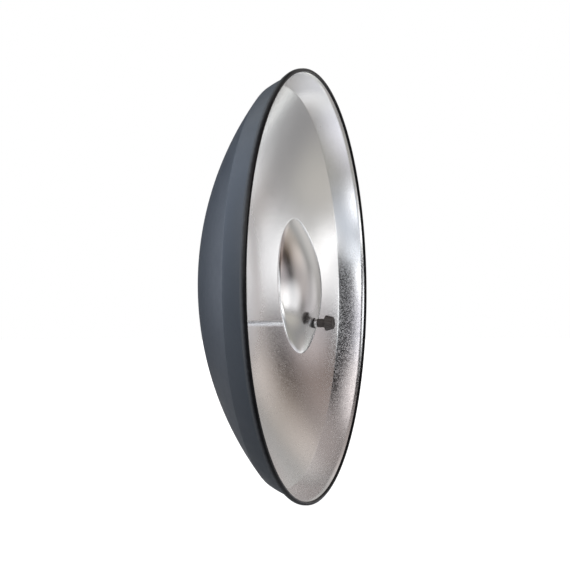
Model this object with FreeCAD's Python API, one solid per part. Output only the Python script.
import FreeCAD, Part
import math
import os

# Beauty dish reflector for a studio flash head.  Millimetres and degrees.
# The dish axis is Y, the open front faces -Y, the flash head is on +Y, +Z is up.
# The origin is on the axis in the rear end plane of the mounting collar.
#
# Most shapes are turned, so they are drawn in (r, s): r is the distance from the axis
# of turning, s is the distance in front of the rim's front plane (negative inside the
# dish).  Angles in (r, s) run from +r towards +s, angles round the dish from +X to +Z.

V = FreeCAD.Vector
Y_AXIS = V(0, 1, 0)
FACE_GAP = 0.02             # between faces that touch or turn against each other

# ---- bowl ---------------------------------------------------------------------
SHEET_T = 1.2               # spun sheet thickness
SPHERE_R = 302.66           # outer radius of the spherical floor
SPHERE_C = (0.0, 203.9)     # centre (r, s) of that sphere
SEAT_S = -86.7              # outer plane of the flat back seat
FLOOR_FILLET = 80.0         # outer radius between seat and sphere
SKIRT_R = 100.3             # outer radius of the skirt's curved section
SKIRT_C = (110.57, 26.12)   # centre (r, s) of that section
CREASE_R = 4.0              # outer bend radius between floor and skirt
FLARE_FROM_S = -5.4         # the lip flares outwards from here
FLARE_R = 5.0               # radius of that bend on the sheet's outer face
FLARE_ANGLE = 40.0          # the lip's slope from the dish axis
LIP_END_S = -1.2            # cut edge of the sheet, under the trim
LAMP_OPENING_R = 28.5       # hole in the bowl's back for flash tube and lamp
FLOOR_S = SEAT_S + SHEET_T  # inner face of the seat

# ---- rim trim -----------------------------------------------------------------
RIM_R = 210.0               # outer radius over the trim
TRIM_NOSE_R = 1.3           # outer front corner
TRIM_LAND_END_S = -3.3      # the cylindrical land at the rim radius ends here
TRIM_REAR_S = -6.6          # rear end of the outer leg
TRIM_LEG_T = 0.45           # inner leg, a thin lip over the sheet's inner face
TRIM_LEG_FROM_S = -1.25     # s along the sheet where the inner leg starts
TRIM_LEG_TO_S = -2.04       # and where it stops
TRIM_GAP = 0.03             # clearance round the sheet

# ---- bayonet adapter: lengths run back from the seat plane -----------------------
COLLAR_LEN = 12.0
COLLAR_R = 47.0
COLLAR_BORE_R = 43.0
COLLAR_CHAMFER = 0.6
LEDGE_R = 42.0
LEDGE_END = 4.0
FLANGE_R = 62.0
GASKET_T = 0.8
FLANGE_T = 2.8
FLANGE_BACK = GASKET_T + FLANGE_T
LUG_R = 49.0
LUG_FROM = 8.8
LUG_ANGLES = (90.0, 210.0, 330.0)
LUG_SPAN = 40.0
NOTCH_R = 1.6

# ---- clamp ring and adapter screws ----------------------------------------------
RING_T = 1.5
RING_R_IN = 28.0
RING_CHAMFER = 0.3
RING_FACE_S = FLOOR_S + RING_T      # front face of the clamp ring
SCREW_PCD_R = 54.0
SCREW_ANGLES = (45.0, 135.0, 225.0, 315.0)
SCREW_R = 2.0
SCREW_HOLE_R = 2.2
SCREW_DOME_R = 4.6                  # sphere of the button head
SCREW_DOME_DEPTH = 2.45             # its centre behind the clamp ring's front face
SCREW_HEAD_R = 3.8
SCREW_HEAD_H = 2.2
SCREW_WASHER_T = 0.8
SCREW_NUT_H = 3.2
SCREW_TAIL = 0.6                    # shank beyond the nut

# ---- stem and its hardware --------------------------------------------------------
STEM_R = 3.0
STEM_Z = -35.0                      # stem axis below the dish axis
STEM_BORE_R = 3.05
STEM_FRONT_S = 8.8                  # stem end inside the knob
STEM_REAR = 3.8                     # stem end behind the seat plane
STEM_CHAMFER = 0.6
NUT_AF = 10.0                       # across flats
NUT_BORE_R = STEM_R + 0.03
NUT_H = 5.0
JAM_NUT_H = 3.2
WASHER_R = 6.0
WASHER_T = 1.6
SPRING_T = 1.5
SPRING_REAR_S = RING_FACE_S + WASHER_T
SPRING_FRONT_S = SPRING_REAR_S + SPRING_T

# ---- deflector ----------------------------------------------------------------------
DOME_EDGE_R = 65.48                 # radius over the hem
DOME_RISE = 17.74
DOME_EDGE_S = -12.28                # centre of the hem's rear plane
DOME_EDGE_Z = 1.05
DOME_TILT = 2.29                    # the dome leans up by this
DOME_T = 1.0
HEM_R = 1.25
DOME_R = (DOME_EDGE_R ** 2 + DOME_RISE ** 2) / (2 * DOME_RISE)
DOME_CENTRE_S = DOME_EDGE_S + DOME_RISE - DOME_R    # before tilting
PAD_FRONT_S = 2.75                  # flat front of the front pad
PAD_REAR_S = -2.0                   # flat rear of the rear pad
REAR_WASHER_FRONT_S = PAD_REAR_S - FACE_GAP
REAR_WASHER_REAR_S = REAR_WASHER_FRONT_S - WASHER_T

# ---- knob -----------------------------------------------------------------------------
KNOB_BASE_S = 3.2
KNOB_HEAD_S = 14.1                  # rear face of the head
KNOB_TIP_S = 22.0
TAPER_FROM = (7.4, KNOB_HEAD_S + 1.2)   # (r, s) ends of the head's taper
TAPER_TO = (5.75, KNOB_TIP_S - 1.2)
INSERT_R = 3.7
INSERT_END_S = 20.4
INSERT_BORE_R = 3.04
INSERT_BORE_END_S = 19.8
KEY_FROM_S, KEY_TO_S = 14.8, 18.3   # flange that keys the insert into the head
KEY_R = 5.2
GROOVE_COUNT = 8
GROOVE_R = 1.7
GROOVE_PCD_R = 8.35


# ---- drawing helpers --------------------------------------------------------------------
def y_of(s):
    return SEAT_S - COLLAR_LEN - s


def behind_seat(distance):
    # s of a plane that far behind the seat plane
    return SEAT_S - distance


def on_circle(centre, radius, angle):
    turn = math.radians(angle)
    return (centre[0] + radius * math.cos(turn), centre[1] + radius * math.sin(turn))


def angle_to(centre, point):
    return math.degrees(math.atan2(point[1] - centre[1], point[0] - centre[0]))


def vector(point):
    return V(point[0], y_of(point[1]), 0)


def line(start, end):
    return Part.makeLine(vector(start), vector(end))


def arc(start, middle, end):
    return Part.Arc(vector(start), vector(middle), vector(end)).toShape()


def arc_about(centre, radius, start, end):
    return arc(*[on_circle(centre, radius, angle) for angle in (start, 0.5 * (start + end), end)])


def revolve(wire, x=0.0, z=0.0):
    solid = Part.Face(wire).revolve(V(x, 0, z), Y_AXIS, 360)
    if solid.Volume < 0:
        solid.reverse()
    return solid


def turned_edges(edges):
    # edges of a closed outline, turned about the dish axis
    return revolve(Part.Wire(Part.__sortEdges__(edges)))


def turned(outline, x=0.0, z=0.0):
    # closed (r, s) polygon turned about the axis along Y through (x, z)
    points = [V(x + r, y_of(s), z) for r, s in outline]
    return revolve(Part.makePolygon(points + [points[0]]), x, z)


def rod(radius, s_rear, s_front, x=0.0, z=0.0, sweep=360):
    base = V(x, y_of(s_front), z)
    return Part.makeCylinder(radius, s_front - s_rear, base, Y_AXIS, sweep)


def washer(radius, bore_r, s_rear, s_front, x=0.0, z=STEM_Z):
    return rod(radius, s_rear, s_front, x, z).cut(rod(bore_r, s_rear - 1, s_front + 1, x, z))


def hexagon(flats, s_rear, s_front, x, z, turn):
    corner_r = flats / math.sqrt(3.0)
    points = []
    for i in range(7):
        px, pz = on_circle((x, z), corner_r, 60.0 * i + turn)
        points.append(V(px, y_of(s_front), pz))
    return Part.Face(Part.makePolygon(points)).extrude(V(0, s_front - s_rear, 0))


def hex_nut(flats, bore_r, s_rear, s_front, x=0.0, z=STEM_Z, turn=0.0):
    # hexagon chamfered by a turned barrel, with a plain bore
    face_r = flats / 2.0 * 0.98
    barrel_r = flats / math.sqrt(3.0) + 0.05
    chamfer = 0.0744 * flats
    barrel = turned([(0, s_rear), (face_r, s_rear), (barrel_r, s_rear + chamfer),
                     (barrel_r, s_front - chamfer), (face_r, s_front), (0, s_front)], x, z)
    nut = hexagon(flats, s_rear, s_front, x, z, turn).common(barrel)
    return nut.cut(rod(bore_r, s_rear - 1, s_front + 1, x, z))


def stem_bore(radius=STEM_BORE_R):
    # cutter for the parts at the front of the stem
    return rod(radius, -60, 60, 0, STEM_Z)


def screw_spots():
    # (angle, x, z) of each adapter screw
    return [(angle, *on_circle((0, 0), SCREW_PCD_R, angle)) for angle in SCREW_ANGLES]


def cut_screw_holes(shape, radius, s_rear, s_front):
    for _, x, z in screw_spots():
        shape = shape.cut(rod(radius, s_rear, s_front, x, z))
    return shape


def largest(shape):
    return max(shape.Solids, key=lambda solid: solid.Volume)


def save(name, shape):
    solids = shape.removeSplitter().Solids
    result = solids[0] if len(solids) == 1 else Part.makeCompound(solids)
    result.exportStep("parts/%s.step" % name)


# ---- bowl outline -----------------------------------------------------------------------
def fillet_centre():
    # inside the seat plane and inside the sphere
    s = SEAT_S + FLOOR_FILLET
    return (math.sqrt((SPHERE_R - FLOOR_FILLET) ** 2 - (SPHERE_C[1] - s) ** 2), s)


def crease_centre():
    # bisection along the circle CREASE_R inside the sphere, until it is also
    # CREASE_R inside the skirt
    def centre(angle):
        return on_circle(SPHERE_C, SPHERE_R - CREASE_R, angle)

    def outside(angle):
        r, s = centre(angle)
        return math.hypot(r - SKIRT_C[0], s - SKIRT_C[1]) > SKIRT_R - CREASE_R

    low, high = -60.0, -45.0
    for _ in range(80):
        middle = 0.5 * (low + high)
        if outside(low) == outside(middle):
            low = middle
        else:
            high = middle
    return centre(0.5 * (low + high))


FILLET_C = fillet_centre()
CREASE_C = crease_centre()
FILLET_END = angle_to(SPHERE_C, FILLET_C)
CREASE_START = angle_to(SPHERE_C, CREASE_C)
CREASE_END = angle_to(SKIRT_C, CREASE_C)
# the flare bends the other way, its centre is outside the skirt
FLARE_START = math.degrees(math.asin((FLARE_FROM_S - SKIRT_C[1]) / SKIRT_R))
FLARE_C = on_circle(SKIRT_C, SKIRT_R + FLARE_R, FLARE_START)
LIP_TURN = math.radians(FLARE_ANGLE)


def lip_point(offset, s):
    # point at s on the straight lip, offset outwards from its outer face
    bend_end = on_circle(FLARE_C, FLARE_R - offset, 180.0 - FLARE_ANGLE)
    return (bend_end[0] + (s - bend_end[1]) * math.tan(LIP_TURN), s)


def sheet_shape(grow=0.0):
    # the spun sheet, thicker by grow on both sides and at the lip's end
    edges, starts, ends = [], [], []
    for offset in (grow, -SHEET_T - grow):
        start = (LAMP_OPENING_R, SEAT_S - offset)
        bend_end = on_circle(FLARE_C, FLARE_R - offset, 180.0 - FLARE_ANGLE)
        end = lip_point(offset, LIP_END_S + grow)
        edges += [
            line(start, on_circle(FILLET_C, FLOOR_FILLET + offset, -90.0)),
            arc_about(FILLET_C, FLOOR_FILLET + offset, -90.0, FILLET_END),
            arc_about(SPHERE_C, SPHERE_R + offset, FILLET_END, CREASE_START),
            arc_about(CREASE_C, CREASE_R + offset, CREASE_START, CREASE_END),
            arc_about(SKIRT_C, SKIRT_R + offset, CREASE_END, FLARE_START),
            arc_about(FLARE_C, FLARE_R - offset, 180.0 + FLARE_START, 180.0 - FLARE_ANGLE),
            line(bend_end, end)]
        starts.append(start)
        ends.append(end)
    return turned_edges(edges + [line(*starts), line(*ends)])


# ---- pieces -----------------------------------------------------------------------------
def reflector_bowl():
    bowl = cut_screw_holes(sheet_shape(), SCREW_HOLE_R, SEAT_S - 5, SEAT_S + 5)
    return bowl.cut(rod(STEM_BORE_R, SEAT_S - 5, SEAT_S + 5, 0, STEM_Z))


def rim_trim():
    # U section over the lip, hollowed by the sheet itself
    def inside_lip(s, inward):
        # square off the sheet's inner face, from the place where that face is at s
        face_r = lip_point(-SHEET_T, s)[0]
        return (face_r - inward * math.cos(LIP_TURN), s + inward * math.sin(LIP_TURN))

    mid_sheet = SHEET_T / 2
    skirt_reach = math.sqrt((SKIRT_R - mid_sheet) ** 2 - (TRIM_REAR_S - SKIRT_C[1]) ** 2)
    outer_mid = (SKIRT_C[0] + skirt_reach, TRIM_REAR_S)
    rear = (RIM_R - 2.0, TRIM_REAR_S)
    rear_bulge = (RIM_R - 1.55, TRIM_REAR_S + 0.14)
    heel = (RIM_R - 1.35, TRIM_REAR_S + 0.55)
    side_bulge = (RIM_R - 0.36, 0.5 * (TRIM_LAND_END_S + heel[1]))
    land_rear = (RIM_R, TRIM_LAND_END_S)
    land_front = (RIM_R, -TRIM_NOSE_R)
    nose_c = (RIM_R - TRIM_NOSE_R, -TRIM_NOSE_R)
    nose = (nose_c[0], 0.0)
    leg_start = inside_lip(TRIM_LEG_FROM_S, TRIM_LEG_T)
    front_bulge = (leg_start[0] + 0.17, 0.5 * leg_start[1] + 0.12)
    front = (leg_start[0] + 0.85, 0.0)
    leg_end = inside_lip(TRIM_LEG_TO_S, TRIM_LEG_T)
    inner_mid = inside_lip(TRIM_LEG_TO_S, -mid_sheet)
    trim = turned_edges([
        line(outer_mid, rear), arc(rear, rear_bulge, heel), arc(heel, side_bulge, land_rear),
        line(land_rear, land_front), arc_about(nose_c, TRIM_NOSE_R, 0.0, 90.0),
        line(nose, front), arc(front, front_bulge, leg_start), line(leg_start, leg_end),
        line(leg_end, inner_mid), line(inner_mid, outer_mid)])
    return largest(trim.cut(sheet_shape(TRIM_GAP)))


def bayonet_adapter():
    collar_edge = COLLAR_LEN - COLLAR_CHAMFER
    outline = [     # (r, distance behind the seat)
        (LEDGE_R, GASKET_T), (FLANGE_R - 0.4, GASKET_T), (FLANGE_R, GASKET_T + 0.4),
        (FLANGE_R, FLANGE_BACK - 0.6), (FLANGE_R - 0.6, FLANGE_BACK),
        (COLLAR_R + 1.0, FLANGE_BACK), (COLLAR_R, FLANGE_BACK + 1.0),
        (COLLAR_R, collar_edge), (COLLAR_R - COLLAR_CHAMFER, COLLAR_LEN),
        (COLLAR_BORE_R, COLLAR_LEN), (COLLAR_BORE_R, LEDGE_END), (LEDGE_R, LEDGE_END)]
    adapter = turned([(r, behind_seat(back)) for r, back in outline])
    for angle in LUG_ANGLES:
        lug = rod(LUG_R, behind_seat(collar_edge), behind_seat(LUG_FROM), sweep=LUG_SPAN)
        lug = lug.cut(rod(COLLAR_R - 1.5, behind_seat(LUG_FROM + 15), behind_seat(LUG_FROM - 5)))
        # the sector starts from a fixed direction: turn it until it is centred
        centre = lug.Solids[0].CenterOfMass
        lug.rotate(V(0, 0, 0), Y_AXIS, angle_to((0, 0), (centre.x, centre.z)) - angle)
        adapter = adapter.fuse(lug)
    # locking notch for the head's spring pin, in the collar's rear edge at the top lug
    notch_base = V(0, y_of(behind_seat(COLLAR_LEN - 0.4)), COLLAR_BORE_R - 4)
    adapter = adapter.cut(Part.makeCylinder(NOTCH_R, 14, notch_base, V(0, 0, 1)))
    return cut_screw_holes(adapter, SCREW_HOLE_R, behind_seat(6), behind_seat(-1))


def adapter_gasket():
    inner_r, outer_r = LEDGE_R + 0.5, FLANGE_R - 0.5
    back = behind_seat(GASKET_T)
    gasket = turned([(inner_r, SEAT_S), (outer_r, SEAT_S), (outer_r, back), (inner_r, back)])
    return cut_screw_holes(gasket, 2.3, behind_seat(3), behind_seat(-1))


def inner_clamp_ring():
    edge_s = RING_FACE_S - RING_CHAMFER
    ring = turned([(RING_R_IN, FLOOR_S), (FLANGE_R, FLOOR_S), (FLANGE_R, edge_s),
                   (FLANGE_R - RING_CHAMFER, RING_FACE_S),
                   (RING_R_IN + RING_CHAMFER, RING_FACE_S), (RING_R_IN, edge_s)])
    ring = ring.cut(rod(STEM_BORE_R, FLOOR_S - 3, FLOOR_S + 5, 0, STEM_Z))
    return cut_screw_holes(ring, SCREW_HOLE_R, FLOOR_S - 3, FLOOR_S + 5)


def save_adapter_fasteners():
    flange_s = behind_seat(FLANGE_BACK)
    washer_s = flange_s - SCREW_WASHER_T
    nut_s = washer_s - SCREW_NUT_H
    tail_s = nut_s - SCREW_TAIL
    screws, washers, nuts = [], [], []
    for angle, x, z in screw_spots():
        # button head with hexagon socket
        head = Part.makeSphere(SCREW_DOME_R, V(x, y_of(RING_FACE_S - SCREW_DOME_DEPTH), z))
        head = head.common(rod(SCREW_HEAD_R, RING_FACE_S, RING_FACE_S + SCREW_HEAD_H, x, z))
        shank = turned([(0, RING_FACE_S + 0.5), (SCREW_R, RING_FACE_S + 0.5),
                        (SCREW_R, tail_s + 0.5), (SCREW_R - 0.5, tail_s), (0, tail_s)], x, z)
        socket = hexagon(2.5, RING_FACE_S + 0.9, RING_FACE_S + 4, x, z, angle)
        screws.append(head.fuse(shank).cut(socket).removeSplitter())
        washers.append(washer(4.5, 2.15, washer_s, flange_s, x, z))
        nuts.append(hex_nut(7.0, 2.04, nut_s, washer_s, x, z, angle + 30))
    save("adapter_screws", Part.makeCompound(screws))
    save("adapter_washers", Part.makeCompound(washers))
    save("adapter_nuts", Part.makeCompound(nuts))


def threaded_stem():
    rear_s = behind_seat(STEM_REAR)
    end_r = STEM_R - STEM_CHAMFER
    return turned([(0, STEM_FRONT_S), (end_r, STEM_FRONT_S),
                   (STEM_R, STEM_FRONT_S - STEM_CHAMFER), (STEM_R, rear_s + STEM_CHAMFER),
                   (end_r, rear_s), (0, rear_s)], 0, STEM_Z)


def stem_spring_washer():
    spring = washer(5.6, 3.1, SPRING_REAR_S, SPRING_FRONT_S)
    # slanting slit through the upper side
    slit = Part.makeBox(1.0, 6, 7, V(-0.5, y_of(SPRING_FRONT_S) - 2, STEM_Z))
    middle_y = y_of(0.5 * (SPRING_REAR_S + SPRING_FRONT_S))
    slit.rotate(V(0, middle_y, STEM_Z), V(0, 0, 1), 35)
    return spring.cut(slit)


def deflector_dome():
    # spherical cap with a round hem, tilted and bored for the stem
    edge_angle = math.degrees(math.asin((DOME_EDGE_R - HEM_R) / (DOME_R - HEM_R)))

    def cap_point(radius, angle):
        # angle from the axis
        turn = math.radians(angle)
        return (radius * math.sin(turn), DOME_CENTRE_S + radius * math.cos(turn))

    angles = (0, edge_angle / 2, edge_angle)
    outer = [cap_point(DOME_R, angle) for angle in angles]
    inner = [cap_point(DOME_R - DOME_T, angle) for angle in angles]
    cap = turned_edges([arc(*outer), line(outer[2], inner[2]), arc(*inner[::-1]),
                        line(inner[0], outer[0])])
    hem_r, hem_s = cap_point(DOME_R - HEM_R, edge_angle)
    dome = cap.fuse(Part.makeTorus(hem_r, HEM_R, V(0, y_of(hem_s), 0), Y_AXIS))
    dome.rotate(V(0, y_of(DOME_EDGE_S), 0), V(1, 0, 0), -DOME_TILT)
    dome.translate(V(0, 0, DOME_EDGE_Z))
    return dome.cut(stem_bore(3.1))


def dome_ball(radius):
    # ball about the centre of the tilted dome's sphere
    depth = DOME_EDGE_S - DOME_CENTRE_S
    tilt = math.radians(DOME_TILT)
    centre = V(0, y_of(DOME_EDGE_S - depth * math.cos(tilt)),
               DOME_EDGE_Z - depth * math.sin(tilt))
    return Part.makeSphere(radius, centre)


# tapered rubber pads: flat towards the washers, shaped to sit on the dome
def deflector_front_pad():
    pad = rod(4.6, -6.0, PAD_FRONT_S, 0, STEM_Z).cut(dome_ball(DOME_R + FACE_GAP))
    return largest(pad.cut(stem_bore()))


def deflector_rear_pad():
    pad = rod(WASHER_R, PAD_REAR_S, 20.0, 0, STEM_Z)
    return largest(pad.common(dome_ball(DOME_R - DOME_T - FACE_GAP)).cut(stem_bore()))


def knob_insert():
    base = KNOB_BASE_S
    return turned([
        (INSERT_BORE_R, base), (3.75, base), (3.95, base + 0.3), (3.95, base + 2.7),
        (3.75, base + 3.0), (INSERT_R, base + 3.0), (INSERT_R, KEY_FROM_S),
        (KEY_R, KEY_FROM_S), (KEY_R, KEY_TO_S), (INSERT_R, KEY_TO_S),
        (INSERT_R, INSERT_END_S), (0, INSERT_END_S), (0, INSERT_BORE_END_S),
        (INSERT_BORE_R, INSERT_BORE_END_S)], 0, STEM_Z)


def thumb_knob():
    # moulded round the insert
    neck_s = KNOB_BASE_S + 3.05
    bore_r, key_r = INSERT_R + FACE_GAP, KEY_R + FACE_GAP
    key_rear, key_front = KEY_FROM_S - FACE_GAP, KEY_TO_S + FACE_GAP
    bore_end = INSERT_END_S + FACE_GAP
    knob = turned([
        (bore_r, neck_s), (4.1, neck_s), (4.2, neck_s + 0.3), (4.2, KNOB_HEAD_S),
        (6.6, KNOB_HEAD_S), (7.3, KNOB_HEAD_S + 0.6), TAPER_FROM, TAPER_TO,
        (5.3, KNOB_TIP_S - 0.35), (4.6, KNOB_TIP_S), (0, KNOB_TIP_S),
        (0, bore_end), (bore_r, bore_end), (bore_r, key_front), (key_r, key_front),
        (key_r, key_rear), (bore_r, key_rear)], 0, STEM_Z)
    # finger grooves round the head, each leaning outwards towards the tip
    tilt = math.degrees(math.atan2(TAPER_FROM[0] - TAPER_TO[0], TAPER_TO[1] - TAPER_FROM[1]))
    limit_front = KNOB_TIP_S + 2
    limit = Part.makeBox(40, limit_front - (KNOB_HEAD_S + 1.0), 40,
                         V(-20, y_of(limit_front), STEM_Z - 20))
    for i in range(GROOVE_COUNT):
        angle = 360.0 / GROOVE_COUNT * (i + 0.5)
        x, z = on_circle((0, STEM_Z), GROOVE_PCD_R, angle)
        groove = rod(GROOVE_R, KNOB_TIP_S - 13, KNOB_TIP_S + 1, x, z)
        turn = math.radians(angle)
        tangent = V(-math.sin(turn), 0, math.cos(turn))
        groove.rotate(V(x, y_of(TAPER_FROM[1]), z), tangent, tilt)
        knob = knob.cut(groove.common(limit))
    return knob


# ---- build ------------------------------------------------------------------------------
os.makedirs("parts", exist_ok=True)

save("reflector_bowl", reflector_bowl())
save("rim_trim", rim_trim())
save("bayonet_adapter", bayonet_adapter())
save("adapter_gasket", adapter_gasket())
save("inner_clamp_ring", inner_clamp_ring())
save_adapter_fasteners()

save("threaded_stem", threaded_stem())
save("stem_rear_nut", hex_nut(NUT_AF, NUT_BORE_R, behind_seat(JAM_NUT_H), SEAT_S))
save("stem_front_washer", washer(WASHER_R, 3.2, RING_FACE_S, SPRING_REAR_S))
save("stem_spring_washer", stem_spring_washer())
save("stem_front_nut", hex_nut(NUT_AF, NUT_BORE_R, SPRING_FRONT_S, SPRING_FRONT_S + NUT_H))

save("deflector_dome", deflector_dome())
save("deflector_front_pad", deflector_front_pad())
save("deflector_rear_pad", deflector_rear_pad())
save("deflector_rear_washer",
     washer(WASHER_R, STEM_BORE_R, REAR_WASHER_REAR_S, REAR_WASHER_FRONT_S))
lock_nut_front = REAR_WASHER_REAR_S - FACE_GAP
save("deflector_lock_nut",
     hex_nut(NUT_AF, STEM_R + 0.04, lock_nut_front - NUT_H, lock_nut_front, turn=15.0))

save("front_washer",
     washer(5.0, STEM_BORE_R, PAD_FRONT_S + FACE_GAP, KNOB_BASE_S - FACE_GAP))
save("knob_insert", knob_insert())
save("thumb_knob", thumb_knob())
